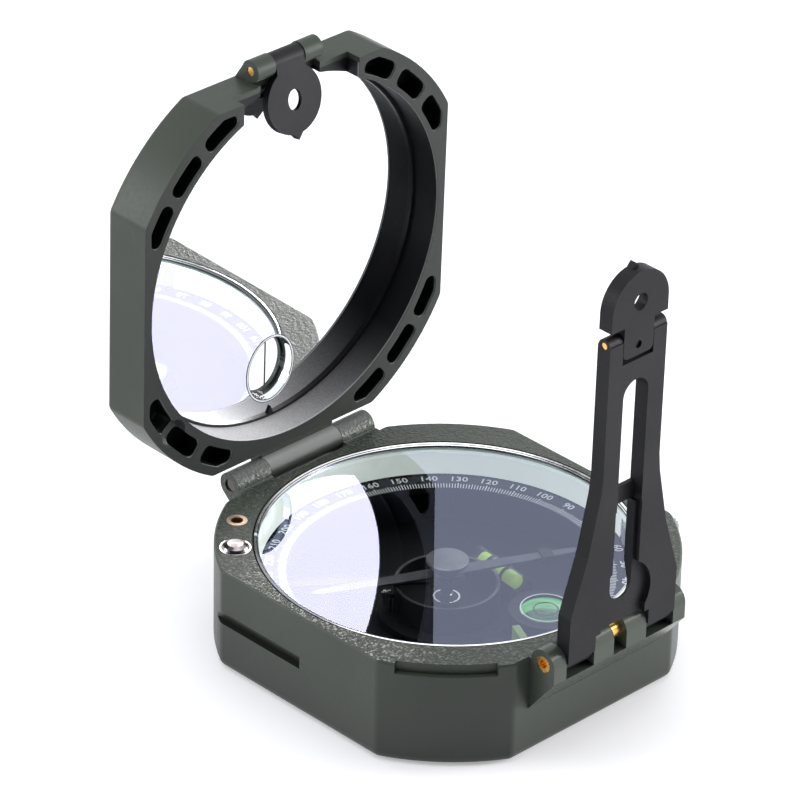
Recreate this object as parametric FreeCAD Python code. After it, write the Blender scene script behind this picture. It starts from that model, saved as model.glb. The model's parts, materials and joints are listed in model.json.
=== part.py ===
"""Sighting compass (pocket transit): a square-cased compass with a mirror lid, a folding long sight,
a turning degree ring, a magnetic needle with a lifter, and a clinometer with two spirit levels.

Millimetres.  The origin is the centre of the case's underside, +Z is up, +Y points to the lid hinge
and -Y to the long sight.  The lid stands open and the long sight stands up, as the compass is used.
"""
import math
import os
import FreeCAD
import Part

# ---------------------------------------------------------------- driving dimensions
flat_half = 35.0            # centre of the case to each of its four flat sides
corner_radius = 39.8        # radius of the four rounded corners, about the centre
base_height = 19.3          # underside to the top rim of the case
floor_height = 3.6          # inside floor of the case
cavity_radius = 32.6        # bore of the case below the glass
seat_radius = 33.3          # bore of the case at the glass
seat_height = 17.2          # shoulder the glass sits on
edge_round = 1.8            # rounding of the case's lower edge
corner_soft = 2.0           # rounding of the upright corners

lid_bottom = 19.4           # rim of the closed lid
lid_top = 28.8              # outer face of the closed lid
lid_cavity_radius = 33.4
lid_cavity_y = -0.5         # the lid's round recess is a little nearer its front
lid_roof = 27.2             # floor the mirror is glued to, closed
mirror_front = 25.7         # mirror face, closed
lid_open_angle = 89.0       # how far the lid stands open
pocket_inner = 34.65        # blind pockets in the lid's rim
pocket_outer = 38.1
pocket_depth = 4.0
pocket_arc = 12.2           # degrees each pocket covers
window_y = 23.6             # sighting window in the mirror
window_rx = 5.1
window_ry = 6.0

hinge_y = 38.4              # lid hinge axis
hinge_z = 19.2
hinge_radius = 2.4
hinge_mid_x = 1.1           # middle of the hinge along X
hinge_half = 16.2           # half the hinge's length
knuckle_half = 8.4          # half the lid's knuckle
lid_pin_radius = 1.2

sight_y = -38.0             # long sight hinge axis
sight_z = 19.3
lug_radius = 2.65
sight_pin_radius = 1.5
lug_outer = 15.6            # outer end of the outer lugs
foot_outer = 12.7           # the long sight's two feet run between these
foot_inner = 6.2
gap_half = 1.5              # gap between the two middle lugs
arm_back = 0.1              # back face of the arm, in front of its hinge axis
arm_front = 2.9             # front face of the arm
arm_lean = 0.65             # the arm leans this many degrees outwards
arm_peep_axis = 57.4        # height of the peep's hinge above the arm's hinge
peep_offset = 1.5           # that axis lies this far in front of the arm's hinge axis
peep_pin_radius = 0.6

lid_sight_y = -37.35        # hinge axis of the lid's small sight, closed
lid_sight_z = 24.3
lid_lug_radius = 2.0
lid_lug_inner = 3.4
lid_lug_outer = 7.4
lid_sight_pin_radius = 0.8
small_sight_droop = 11.0    # degrees the small sight hangs out of the lid
lid_sight_front = 22.45     # lower face of the small sight, folded in and closed

ring_teeth = 160            # geared degree ring and its pinion
pinion_teeth = 22
gear_module = 0.4
ring_bottom = 12.4
ring_top = 13.35
ring_inner = 27.3
wheel_y = -16.8             # thumbwheel axis
wheel_radius = 4.9
wheel_pocket = 5.25
running = 0.05              # radial play of a turning fit

pin_angle = 141.0           # direction of the lift pin from the centre
pin_distance = 36.2
lifter_pivot = 18.0         # distance of the lifter's pivot from the centre
lifter_bottom = 11.4
lifter_top = 11.9

X_AXIS = FreeCAD.Vector(1, 0, 0)
Y_AXIS = FreeCAD.Vector(0, 1, 0)
Z_AXIS = FreeCAD.Vector(0, 0, 1)
ORIGIN = FreeCAD.Vector(0, 0, 0)
parts = {}


# ---------------------------------------------------------------- helpers
def vec(x, y, z):
    return FreeCAD.Vector(x, y, z)


def box(x0, x1, y0, y1, z0, z1):
    return Part.makeBox(x1 - x0, y1 - y0, z1 - z0, vec(x0, y0, z0))


def post(radius, z0, z1, x=0.0, y=0.0):
    return Part.makeCylinder(radius, z1 - z0, vec(x, y, z0), Z_AXIS)


def rod_x(radius, x0, x1, y, z):
    return Part.makeCylinder(radius, x1 - x0, vec(x0, y, z), X_AXIS)


def tube(outer, inner, z0, z1, x=0.0, y=0.0):
    return post(outer, z0, z1, x, y).cut(post(inner, z0 - 1, z1 + 1, x, y))


def prism_z(points, z0, z1):
    corners = [vec(x, y, z0) for x, y in points]
    face = Part.Face(Part.makePolygon(corners + corners[:1]))
    return face.extrude(vec(0, 0, z1 - z0))


def prism_x(points, x0, x1):
    corners = [vec(x0, y, z) for y, z in points]
    face = Part.Face(Part.makePolygon(corners + corners[:1]))
    return face.extrude(vec(x1 - x0, 0, 0))


def prism_y(points, y0, y1):
    corners = [vec(x, y0, z) for x, z in points]
    face = Part.Face(Part.makePolygon(corners + corners[:1]))
    return face.extrude(vec(0, y1 - y0, 0))


def oval(rx, ry, z0, z1, x, y):
    """An upright elliptical cylinder, longer along Y."""
    ellipse = Part.Ellipse(vec(x, y + ry, z0), vec(x + rx, y, z0), vec(x, y, z0))
    face = Part.Face(Part.Wire(ellipse.toShape()))
    return face.extrude(vec(0, 0, z1 - z0))


def turned(profile):
    """A solid of revolution about Z from (radius, height) points."""
    corners = [vec(r, 0, z) for r, z in profile]
    face = Part.Face(Part.makePolygon(corners + corners[:1]))
    return face.revolve(ORIGIN, Z_AXIS, 360)


def join(first, *others):
    return first.multiFuse(list(others)).removeSplitter()


def polar(radius, degrees):
    return radius * math.cos(math.radians(degrees)), radius * math.sin(math.radians(degrees))


def upright_edges(shape):
    found = []
    for edge in shape.Edges:
        box_of_edge = edge.BoundBox
        if box_of_edge.XLength < 1e-6 and box_of_edge.YLength < 1e-6:
            found.append(edge)
    return found


def edges_at(shape, height):
    found = []
    for edge in shape.Edges:
        if abs(edge.BoundBox.ZMin - height) < 1e-6 and abs(edge.BoundBox.ZMax - height) < 1e-6:
            found.append(edge)
    return found


def outline(half, radius, z0, z1):
    """The case's outline: a square with its corners cut by a circle about the centre."""
    square = box(-half, half, -half, half, z0, z1)
    return square.common(post(radius, z0, z1))


def gear(teeth, pitch_radius, addendum, dedendum, z0, z1, x, y, phase):
    """A straight-sided gear whose teeth are slim enough to run freely."""
    points = []
    pitch = 360.0 / teeth
    for tooth in range(teeth):
        middle = phase + tooth * pitch
        for radius, share in (
            (pitch_radius - dedendum, -0.30),
            (pitch_radius + addendum, -0.11),
            (pitch_radius + addendum, 0.11),
            (pitch_radius - dedendum, 0.30),
        ):
            px, py = polar(radius, middle + share * pitch)
            points.append((x + px, y + py))
    return prism_z(points, z0, z1)


def slanted(shape):
    """Give the long sight its outward lean."""
    shape.rotate(vec(0, sight_y, sight_z), X_AXIS, arm_lean)
    return shape


def opened(shape):
    """Swing a lid piece from closed to where it stands open."""
    shape.rotate(vec(0, hinge_y, hinge_z), X_AXIS, -lid_open_angle)
    return shape


# ---------------------------------------------------------------- places that several pieces share
gear_distance = gear_module * (ring_teeth + pinion_teeth) / 2.0 + 0.05
wheel_x = math.sqrt(gear_distance**2 - wheel_y**2)
wheel_direction = math.degrees(math.atan2(wheel_y, wheel_x))
pin_x, pin_y = polar(pin_distance, pin_angle)


def along_lifter(shape):
    """Turn a piece drawn along +X so that it points from the centre to the lift pin."""
    shape.rotate(ORIGIN, Z_AXIS, pin_angle)
    return shape


# ---------------------------------------------------------------- case
def make_case():
    case = outline(flat_half, corner_radius, 0, base_height)
    case = case.makeFillet(corner_soft, upright_edges(case))
    case = case.makeFillet(edge_round, edges_at(case, 0.0))
    case = case.makeChamfer(0.3, edges_at(case, base_height))
    # front hinge block for the long sight, sloping back into the case below
    block = prism_x(
        [
            (-34.0, 9.2),
            (-35.0, 9.2),
            (sight_y - lug_radius, 16.4),
            (sight_y - lug_radius, sight_z),
            (-34.0, sight_z),
        ],
        -lug_outer,
        lug_outer,
    )
    barrel = rod_x(lug_radius, -lug_outer, lug_outer, sight_y, sight_z)
    case = join(case, block, barrel)
    slot_floor = sight_z - arm_front - 0.15
    cuts = []
    for x0, x1 in ((-foot_outer, -foot_inner), (foot_inner, foot_outer), (-gap_half, gap_half)):
        cuts.append(box(x0, x1, -45.0, -35.15, slot_floor, 30.0))
    # rear knuckles of the lid hinge
    for x0, x1 in (
        (hinge_mid_x - hinge_half, hinge_mid_x - knuckle_half - 0.1),
        (hinge_mid_x + knuckle_half + 0.1, hinge_mid_x + hinge_half),
    ):
        web = prism_x([(34.2, 12.4), (39.9, 17.3), (hinge_y, hinge_z), (34.2, hinge_z)], x0, x1)
        case = join(case, web, rod_x(hinge_radius, x0, x1, hinge_y, hinge_z))
    # round cavity and glass seat
    cuts.append(post(cavity_radius, floor_height, seat_height + 1))
    cuts.append(post(seat_radius, seat_height, base_height + 5))
    # bores of the two hinge pins
    cuts.append(rod_x(sight_pin_radius + 0.01, -20, 20, sight_y, sight_z))
    cuts.append(rod_x(lid_pin_radius + 0.01, -20, 22, hinge_y, hinge_z))
    # thumb catch under the rim at the front left corner, and the shallow step on the left side
    catch = tube(45.0, 38.7, 17.4, 22.0)
    wedge = prism_z([(0, 0), polar(60, -147.3), polar(60, -135), polar(60, -122.5)], 16, 23)
    cuts.append(catch.common(wedge))
    groove = [(-35.3, 11.8), (-35.0, 11.3), (-34.3, 10.2), (-33.95, 9.3), (-33.9, 8.9), (-35.3, 8.9)]
    cuts.append(prism_y(groove, -0.5, 25.0))
    # pocket, slot and axle bore of the thumbwheel
    cuts.append(post(wheel_pocket, 12.2, 17.05, wheel_x, wheel_y))
    cuts.append(post(0.81, 10.4, 18.4, wheel_x, wheel_y))
    # bore of the lift pin's bush, and the slot its lever swings in
    cuts.append(post(2.71, 14.2, 25.0, pin_x, pin_y))
    cuts.append(post(1.3, 11.0, 15.0, pin_x, pin_y))
    cuts.append(along_lifter(box(31.5, 38.0, -1.7, 1.7, 10.0, 12.6)))
    # brass insert beside the hinge
    insert_x, insert_y = insert_place()
    cuts.append(post(1.81, 13.3, 25.0, insert_x, insert_y))
    # recess under the case for the clinometer lever, and its shaft's bore
    cuts.append(post(10.5, -1.0, 2.0))
    cuts.append(post(1.5 + running, -1.0, 10.0))
    return case.cut(Part.Compound(cuts))


def insert_place():
    return polar(36.45, 127.1)


def make_case_parts():
    parts["base_case"] = make_case()
    parts["dial_plate"] = tube(32.5, 1.6, floor_height, 4.6)
    spacer = tube(32.5, 31.0, 4.6, 12.25)
    spacer = spacer.cut(along_lifter(box(29.0, 34.0, -1.7, 1.7, 10.0, 13.0)))
    parts["ring_support"] = spacer
    liner = turned([(31.95, 13.55), (32.55, 13.55), (32.55, seat_height), (32.35, seat_height)])
    parts["pale_liner_ring"] = liner.cut(post(wheel_pocket, 12.0, 17.05, wheel_x, wheel_y))
    parts["glass_gasket"] = tube(33.25, 32.3, seat_height, 17.6)
    parts["cover_glass"] = post(33.2, 17.6, 18.7)
    snap = turned([(32.25, 18.7), (33.25, 18.7), (33.25, 19.2), (32.8, 19.36), (32.25, 19.1)])
    gap = box(30.0, 36.0, -0.45, 0.45, 18.0, 20.0)
    gap.rotate(ORIGIN, Z_AXIS, 134.0)
    parts["glass_snap_ring"] = snap.cut(gap)
    insert_x, insert_y = insert_place()
    parts["brass_insert"] = tube(1.8, 1.05, 13.3, base_height, insert_x, insert_y)
    long_pin = rod_x(sight_pin_radius, -lug_outer + 0.15, lug_outer - 0.15, sight_y, sight_z)
    for x0, x1 in ((-lug_outer, -lug_outer + 1.6), (lug_outer - 1.6, lug_outer)):
        long_pin = long_pin.cut(rod_x(0.7, x0, x1, sight_y, sight_z))
    parts["long_sight_pin"] = long_pin
    lid_pin = rod_x(
        lid_pin_radius,
        hinge_mid_x - hinge_half + 0.3,
        hinge_mid_x + hinge_half - 0.3,
        hinge_y,
        hinge_z,
    )
    parts["lid_hinge_pin"] = lid_pin
    parts["thumbwheel_axle"] = post(0.8, 10.4, 18.4, wheel_x, wheel_y)
    bush = post(2.7, 14.2, base_height + 0.02, pin_x, pin_y)
    bush = bush.cut(post(2.45, 15.0, 30.0, pin_x, pin_y))
    parts["lift_pin_bush"] = bush.cut(post(0.9 + running, 10.0, 30.0, pin_x, pin_y))


# ---------------------------------------------------------------- needle lifter
def make_lifter():
    # the round-headed pin in the rim
    stem = post(0.9, 12.0, 19.1, pin_x, pin_y)
    profile = [(0, 18.95), (2.38, 18.95), (2.38, 19.35), (2.1, 19.8), (1.4, 20.1), (0, 20.2)]
    head = turned(profile)
    head.translate(vec(pin_x, pin_y, 0))
    parts["lift_pin"] = join(stem, head)
    spring = Part.makeHelix(0.95, 3.4, 1.75)
    start = vec(1.75, 0, 0)
    wire_ring = Part.Wire(Part.makeCircle(0.22, start, Y_AXIS))
    coil = Part.Wire(spring.Edges).makePipeShell([wire_ring], True, True)
    coil.translate(vec(pin_x, pin_y, 15.25))
    parts["lift_pin_spring"] = coil
    # the lever from under the pin to the needle
    strip = box(1.6, 37.2, -1.1, 1.1, lifter_bottom, lifter_top)
    collar = tube(3.2, 1.9, lifter_bottom, lifter_top)
    strip = strip.cut(post(1.9, 5, 15))
    eye = Part.makeCylinder(0.85, 2.2, vec(lifter_pivot, -1.1, 10.9), Y_AXIS)
    lever = join(strip, collar, eye)
    lever = lever.cut(Part.makeCylinder(0.45, 6, vec(lifter_pivot, -3, 10.9), Y_AXIS))
    parts["needle_lifter"] = along_lifter(lever)
    bracket = box(lifter_pivot - 1.3, lifter_pivot + 1.3, -2.4, 2.4, 4.6, 5.2)
    for y0, y1 in ((-2.4, -1.4), (1.4, 2.4)):
        bracket = bracket.fuse(box(lifter_pivot - 1.0, lifter_pivot + 1.0, y0, y1, 4.6, 11.8))
    bracket = bracket.cut(Part.makeCylinder(0.41, 8, vec(lifter_pivot, -4, 10.9), Y_AXIS))
    parts["lifter_bracket"] = along_lifter(bracket.removeSplitter())
    axle = Part.makeCylinder(0.4, 5.4, vec(lifter_pivot, -2.7, 10.9), Y_AXIS)
    parts["lifter_axle"] = along_lifter(axle)


# ---------------------------------------------------------------- degree ring and thumbwheel
def make_ring_drive():
    ring = gear(
        ring_teeth,
        gear_module * ring_teeth / 2.0,
        0.26,
        0.46,
        ring_bottom,
        ring_top,
        0,
        0,
        wheel_direction,
    )
    parts["degree_ring"] = ring.cut(post(ring_inner, 10, 15))
    pinion = gear(
        pinion_teeth,
        gear_module * pinion_teeth / 2.0,
        0.26,
        0.46,
        ring_bottom,
        ring_top,
        wheel_x,
        wheel_y,
        wheel_direction + 180.0 + 180.0 / pinion_teeth,
    )
    wheel = post(wheel_radius, 13.65, 16.9, wheel_x, wheel_y)
    flutes = []
    for step in range(30):
        px, py = polar(wheel_radius + 0.12, step * 12.0)
        flutes.append(post(0.33, 13.0, 17.5, wheel_x + px, wheel_y + py))
    wheel = wheel.cut(Part.Compound(flutes))
    neck = post(3.6, ring_top, 13.65, wheel_x, wheel_y)
    wheel = join(pinion, neck, wheel)
    parts["thumbwheel"] = wheel.cut(post(0.8 + running, 10, 20, wheel_x, wheel_y))


# ---------------------------------------------------------------- needle
def make_needle():
    heading = -25.0
    blade = prism_z([(-24.6, 0), (-23.0, 0.75), (0, 1.5), (23.0, 0.75), (24.6, 0), (23.0, -0.75),
                     (0, -1.5), (-23.0, -0.75)], 13.0, 13.4)
    blade = join(blade, post(2.9, 13.0, 13.4))
    blade = blade.cut(post(1.45, 12, 15))
    hub = turned([(0, 13.4), (2.6, 13.4), (2.6, 13.9), (2.0, 14.1), (2.0, 15.0), (3.4, 15.1),
                  (3.7, 15.3), (3.7, 15.6), (3.45, 15.8), (1.5, 15.95), (0, 16.0)])
    hub = hub.cut(post(1.4, 13.0, 14.05))
    jewel = post(1.38, 13.8, 14.05)
    slide = box(17.0, 19.0, -1.5, 1.5, 12.6, 13.8)
    weight = slide.cut(box(16.8, 19.2, -0.92, 0.92, 12.98, 13.42))
    weight = weight.cut(blade)
    for name, shape in (
        ("needle_blade", blade),
        ("needle_hub", hub),
        ("needle_jewel", jewel),
        ("needle_counterweight", weight),
    ):
        shape.rotate(ORIGIN, Z_AXIS, heading)
        parts[name] = shape


# ---------------------------------------------------------------- clinometer with its two levels
vial_across = 11.8          # tube level's axis from the needle pivot
vial_along = 0.4            # middle of the tube level along its own direction
vial_z = 9.0
vial_radius = 1.9
vial_turn = -7.3            # degrees the tube level is turned from the Y direction
round_x = 8.2               # centre of the round level
round_y = -15.7


def turned_vial(shape):
    shape.translate(vec(vial_across, vial_along, 0))
    shape.rotate(ORIGIN, Z_AXIS, vial_turn)
    return shape


def make_clinometer():
    plate = tube(11.9, 1.5, 5.2, 6.2)
    plate = plate.fuse(post(6.8, 5.2, 6.2, round_x, round_y))
    plate = plate.fuse(turned_vial(box(-4.6, 2.6, -6.4, 6.4, 5.2, 6.2)))
    sector = tube(25.5, 8.0, 5.2, 6.2)
    wedge = prism_z([(0, 0), polar(40, -104), polar(40, -84)], 5.0, 7.0)
    plate = plate.fuse(sector.common(wedge))
    plate = plate.removeSplitter().cut(post(1.5, 4, 8))
    parts["clinometer_arm"] = plate
    # tube level: a glass vial in a black cradle
    cradle = box(-2.15, 2.15, -6.2, 6.2, 6.2, 9.2)
    seat = vial_radius + 0.01
    cradle = cradle.cut(Part.makeCylinder(seat, 16, vec(0, -8, vial_z), Y_AXIS))
    cradle = cradle.cut(box(-seat, seat, -8, 8, vial_z, 12))
    parts["tube_level_cradle"] = turned_vial(cradle)
    vial = Part.makeCylinder(vial_radius, 12.0, vec(0, -6.0, vial_z), Y_AXIS)
    spirit = Part.makeCylinder(1.45, 10.6, vec(0, -5.3, vial_z), Y_AXIS)
    bubble = Part.makeCylinder(0.7, 3.2, vec(0, -1.6, vial_z + 0.72), Y_AXIS)
    parts["tube_level_vial"] = turned_vial(vial.cut(spirit))
    parts["tube_level_spirit"] = turned_vial(spirit.cut(bubble))
    # round level: a cup with a domed glass over green spirit
    cup = tube(6.4, 4.5, 6.2, 9.5, round_x, round_y)
    parts["round_level_cup"] = cup.fuse(post(6.4, 6.2, 6.8, round_x, round_y)).removeSplitter()
    parts["round_level_spirit"] = post(4.48, 6.8, 9.0, round_x, round_y)
    dome = Part.makeSphere(15.0, vec(round_x, round_y, 9.9 - 15.0))
    parts["round_level_glass"] = post(4.48, 9.0, 10.5, round_x, round_y).common(dome)
    # luminous index beside it
    index = box(-0.65, 0.65, -2.1, 2.1, 6.2, 9.9)
    index.rotate(ORIGIN, Z_AXIS, -25.0)
    index.translate(vec(-0.6, -18.2, 0))
    parts["clinometer_index"] = index
    # slotted post that stops the arm's travel
    stop_x, stop_y = polar(10.4, 148.7)
    stop = join(post(0.8, 6.2, 9.5, stop_x, stop_y), post(1.1, 9.5, 10.1, stop_x, stop_y))
    slot = box(-0.18, 0.18, -2.0, 2.0, 9.8, 11.0)
    slot.rotate(ORIGIN, Z_AXIS, 35.0)
    slot.translate(vec(stop_x, stop_y, 0))
    parts["stop_screw"] = stop.cut(slot)
    # copper cup that damps the needle
    cup_wall = tube(9.2, 8.5, 6.2, 11.2)
    parts["damping_cup"] = cup_wall.fuse(tube(9.2, 1.5, 6.2, 7.0)).removeSplitter()
    shaft = post(1.5, 0.4, 8.2)
    shoulder = tube(2.4, 1.5, 7.0, 8.2)
    parts["clinometer_shaft"] = join(shaft, shoulder)
    profile = [(0, 8.2), (1.1, 8.2), (1.0, 10.6), (0.55, 11.6), (0.45, 12.9), (0.1, 13.7), (0, 13.7)]
    parts["needle_pivot"] = turned(profile)
    parts["clinometer_washer"] = tube(2.5, 1.5 + running, 4.62, 5.18)
    # lever in the recess under the case
    lever = tube(3.0, 1.5, 0.5, 1.6)
    grip = prism_z([(1.6, -1.5), (8.6, -1.1), (9.3, 0), (8.6, 1.1), (1.6, 1.5)], 0.5, 1.6)
    lever = lever.fuse(grip.cut(post(1.5, 0, 3))).removeSplitter()
    parts["clinometer_lever"] = lever


# ---------------------------------------------------------------- lid
def pocket(middle):
    """One blind pocket in the lid's rim, kept clear of the outside walls."""
    ring = tube(pocket_outer, pocket_inner, 18.0, lid_bottom + pocket_depth)
    wedge = prism_z(
        [(0, 0), polar(60, middle - pocket_arc / 2), polar(60, middle + pocket_arc / 2)],
        18.0,
        lid_bottom + pocket_depth,
    )
    shape = ring.common(wedge).common(outline(33.7, 60.0, 18.0, lid_bottom + pocket_depth))
    return shape.makeFillet(1.3, upright_edges(shape))


def make_lid():
    lid = outline(flat_half, corner_radius, lid_bottom, lid_top)
    lid = lid.makeFillet(corner_soft, upright_edges(lid))
    lid = lid.makeFillet(0.9, edges_at(lid, lid_top))
    # the lid's hinge knuckle and its web
    x0 = hinge_mid_x - knuckle_half
    x1 = hinge_mid_x + knuckle_half
    web = prism_x([(34.2, 19.6), (39.2, 19.6), (39.9, 21.0), (34.2, 24.6)], x0, x1)
    lid = join(lid, web, rod_x(hinge_radius, x0, x1, hinge_y, hinge_z))
    # two lugs for the small sight, sloping back towards the outer face
    for x0, x1 in ((-lid_lug_outer, -lid_lug_inner), (lid_lug_inner, lid_lug_outer)):
        low = lid_sight_z - lid_lug_radius
        reach = lid_sight_y - lid_lug_radius * 0.75
        body = prism_x([(-34.2, low), (lid_sight_y, low), (reach, 25.62), (-35.0, 28.1),
                        (-34.2, 28.1)], x0, x1)
        lid = join(lid, body)
    # the small sight's disc swings in this hollow, so only round lugs reach into it
    lid = lid.cut(box(-6.8, 6.8, -35.5, -28.0, 18.0, 24.1))
    lid = lid.cut(box(-lid_lug_outer, lid_lug_outer, lid_sight_y, -35.2, 18.0, 24.3))
    for x0, x1 in ((-lid_lug_outer, -lid_lug_inner), (lid_lug_inner, lid_lug_outer)):
        lid = join(lid, rod_x(lid_lug_radius, x0, x1, lid_sight_y, lid_sight_z))
    cuts = [post(lid_cavity_radius, lid_bottom - 1, lid_roof, 0, lid_cavity_y)]
    cuts.append(rod_x(lid_pin_radius + running, -20, 22, hinge_y, hinge_z))
    cuts.append(rod_x(lid_sight_pin_radius + 0.01, -9, 9, lid_sight_y, lid_sight_z))
    # notch the folded long sight passes through, and a deeper one for the small sight
    cuts.append(box(-13.2, 13.2, -35.5, -28.0, 18.0, 22.4))
    # sighting window
    cuts.append(oval(window_rx, window_ry, lid_roof - 1, 28.05, 0, window_y))
    cuts.append(oval(window_rx - 0.5, window_ry - 0.5, 28.0, lid_top + 1, 0, window_y))
    # shallow domed dimple that clears the lift pin's head
    dimple = turned([(0, 18.0), (2.6, 18.0), (2.6, 19.5), (2.3, 20.0), (1.55, 20.3), (0, 20.4)])
    dimple.translate(vec(pin_x, pin_y, 0))
    cuts.append(dimple)
    for corner in (45, 135, 225, 315):
        for step in (-15.0, 0.0, 15.0):
            cuts.append(pocket(corner + step))
    return lid.cut(Part.Compound(cuts))


def make_lid_parts():
    parts["lid_shell"] = opened(make_lid())
    glass = post(33.3, mirror_front, lid_roof, 0, lid_cavity_y)
    glass = glass.cut(oval(window_rx, window_ry, 20, 30, 0, window_y))
    parts["lid_mirror"] = opened(glass)
    keeper = tube(33.35, 32.85, 25.2, mirror_front, 0, lid_cavity_y)
    pointer = prism_z([(-0.9, 33.0), (0, 31.0), (0.9, 33.0)], 25.35, mirror_front)
    pointer = pointer.common(post(33.0, 20, 30, 0, lid_cavity_y))
    parts["mirror_keeper_ring"] = opened(keeper.fuse(pointer).removeSplitter())
    window = oval(window_rx - 0.08, window_ry - 0.08, lid_roof, 28.0, 0, window_y)
    parts["window_glass"] = opened(window)
    pin = rod_x(
        lid_sight_pin_radius, -lid_lug_outer + 0.1, lid_lug_outer - 0.1, lid_sight_y, lid_sight_z
    )
    parts["small_sight_pin"] = opened(pin)
    # small folding sight of the lid
    front = lid_sight_front
    knuckle = rod_x(1.85, -3.3, 3.3, lid_sight_y, lid_sight_z)
    neck = box(-3.2, 3.2, lid_sight_y, -33.0, front, front + 1.4)
    disc = post(6.1, front, front + 1.4, 0, -30.3)
    outline_of_tip = [(-1.4, -25.2), (-1.3, -24.6), (0, -23.1), (1.3, -24.6), (1.4, -25.2)]
    tip = prism_z(outline_of_tip, front, front + 1.4)
    sight = join(knuckle, neck, disc, tip)
    sight = sight.cut(rod_x(lid_sight_pin_radius + running, -9, 9, lid_sight_y, lid_sight_z))
    sight = sight.cut(oval(1.5, 1.9, 20, 26, 0, -30.3))
    sight = sight.cut(oval(2.4, 2.8, front + 0.8, 26, 0, -30.3))
    # it hangs a little way out of the lid
    sight.rotate(vec(0, lid_sight_y, lid_sight_z), X_AXIS, -small_sight_droop)
    parts["small_sight"] = opened(sight)


# ---------------------------------------------------------------- long sight
def arm_plate(points, near, far):
    """A plate of the long sight from (x, height) points, between two depths before the axis."""
    corners = [(x, sight_z + height) for x, height in points]
    return prism_y(corners, sight_y - far, sight_y - near)


def arm_hole(radius, height, near, far):
    return Part.makeCylinder(
        radius, far - near, vec(0, sight_y - far, sight_z + height), Y_AXIS
    )


def make_arm():
    side = [(12.6, 0.0), (12.6, 8.6), (9.2, 19.0), (6.95, 29.6), (6.6, 33.0), (6.6, 58.7)]
    plate = arm_plate(side + [(-x, h) for x, h in reversed(side)], arm_back, arm_front)
    feet = rod_x(2.5, -12.6, 12.6, sight_y, sight_z)
    arm = plate.fuse(feet)
    # space for the four lugs
    inside = foot_inner + 0.1
    arm = arm.cut(box(-inside, inside, -45.0, -34.0, sight_z - 4, sight_z + 2.85))
    # upper slot, thin cross bar, lower keyhole, and the shallow pocket in the front face
    wide = 2.9
    bar_front = arm_back + 0.8
    bar_low = 25.2
    bar_high = 28.4
    web_front = arm_front - 1.0
    cuts = [
        arm_plate([(-wide, bar_high), (wide, bar_high), (wide, 46.6), (-wide, 46.6)], 0, 4),
        arm_hole(wide, 46.6, 0, 4),
        arm_plate([(-wide, 25.0), (wide, 25.0), (wide, 30.5), (-wide, 30.5)], bar_front, 4),
        arm_plate([(-2.5, 9.7), (2.5, 9.7), (2.5, bar_low), (-2.5, bar_low)], 0, 4),
        arm_hole(2.5, 9.7, 0, 4),
        arm_plate([(-3.1, 10.0), (3.1, 10.0), (3.1, 25.3), (-3.1, 25.3)], web_front, 4),
        arm_hole(6.3, 8.0, web_front, 4),
        arm_plate([(-5.2, 2.0), (5.2, 2.0), (5.2, 9.0), (-5.2, 9.0)], web_front, 4),
        # notch for the peep's middle knuckle
        arm_plate([(-3.55, 53.2), (3.55, 53.2), (3.55, 60.0), (-3.55, 60.0)], 0, 4),
    ]
    # tapering relief behind the foot, where the lid's lugs swing past
    relief = prism_x(
        [
            (sight_y, sight_z + 2.0),
            (sight_y, sight_z + 13.0),
            (sight_y - arm_back, sight_z + 13.0),
            (sight_y - 1.5, sight_z + 7.6),
            (sight_y - 1.5, sight_z + 2.0),
        ],
        -7.7,
        7.7,
    )
    cuts.append(relief)
    arm = arm.cut(Part.Compound(cuts))
    axis_z = sight_z + arm_peep_axis
    axis_y = sight_y - peep_offset
    # round the top of the two upper knuckles
    block = box(-7.0, 7.0, axis_y - 2, axis_y + 2, axis_z, axis_z + 2)
    rounder = block.cut(rod_x(1.25, -8, 8, axis_y, axis_z))
    arm = arm.cut(rounder)
    arm = arm.cut(rod_x(peep_pin_radius + 0.01, -8, 8, axis_y, axis_z))
    arm = arm.cut(rod_x(sight_pin_radius + running, -20, 20, sight_y, sight_z))
    return arm.removeSplitter()


def make_long_sight():
    parts["long_sight_arm"] = slanted(make_arm())
    axis_z = sight_z + arm_peep_axis
    axis_y = sight_y - peep_offset
    parts["peep_pin"] = slanted(rod_x(peep_pin_radius, -6.5, 6.5, axis_y, axis_z))
    # peep: a rounded plate with a sighting hole, a pointed top and one knuckle
    tongue = [(-3.45, 53.95), (3.45, 53.95), (3.45, 61.0), (-3.45, 61.0)]
    tab = arm_plate(tongue, arm_back, arm_front)
    corners = []
    for edge in tab.Edges:
        if edge.BoundBox.XLength < 1e-6 and edge.BoundBox.ZMax < sight_z + 54.0:
            if edge.BoundBox.YLength > 1.0:
                corners.append(edge)
    tab = tab.makeFillet(1.1, corners)
    sides = [(-6.5, 60.0), (6.5, 60.0), (6.5, 62.8), (-6.5, 62.8)]
    plate = arm_plate(sides, arm_back, arm_front)
    top = arm_hole(6.5, 62.8, arm_back, arm_front)
    top = top.cut(box(-10, 10, -45, -30, 0, sight_z + 60.0))
    tip = arm_plate([(-1.4, 68.6), (0, 70.2), (1.4, 68.6)], arm_back, arm_back + 1.2)
    peep = join(tab, plate, top, tip)
    peep = peep.cut(arm_hole(1.55, 63.7, 0, 4))
    peep = peep.cut(arm_hole(2.7, 63.7, 0, 1.9))
    peep = peep.cut(arm_hole(0.7, 55.9, arm_front - 0.4, 4))
    peep = peep.cut(rod_x(peep_pin_radius + running, -8, 8, axis_y, axis_z))
    parts["peep_sight"] = slanted(peep)


# ---------------------------------------------------------------- build and write
make_case_parts()
make_lifter()
make_ring_drive()
make_needle()
make_clinometer()
make_lid_parts()
make_long_sight()

os.makedirs("parts", exist_ok=True)
for name, shape in parts.items():
    if len(shape.Solids) == 1:
        shape = shape.Solids[0]
    print(name, len(shape.Solids), shape.isValid(), round(shape.Volume, 2))
    shape.exportStep("parts/%s.step" % name)
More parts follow.
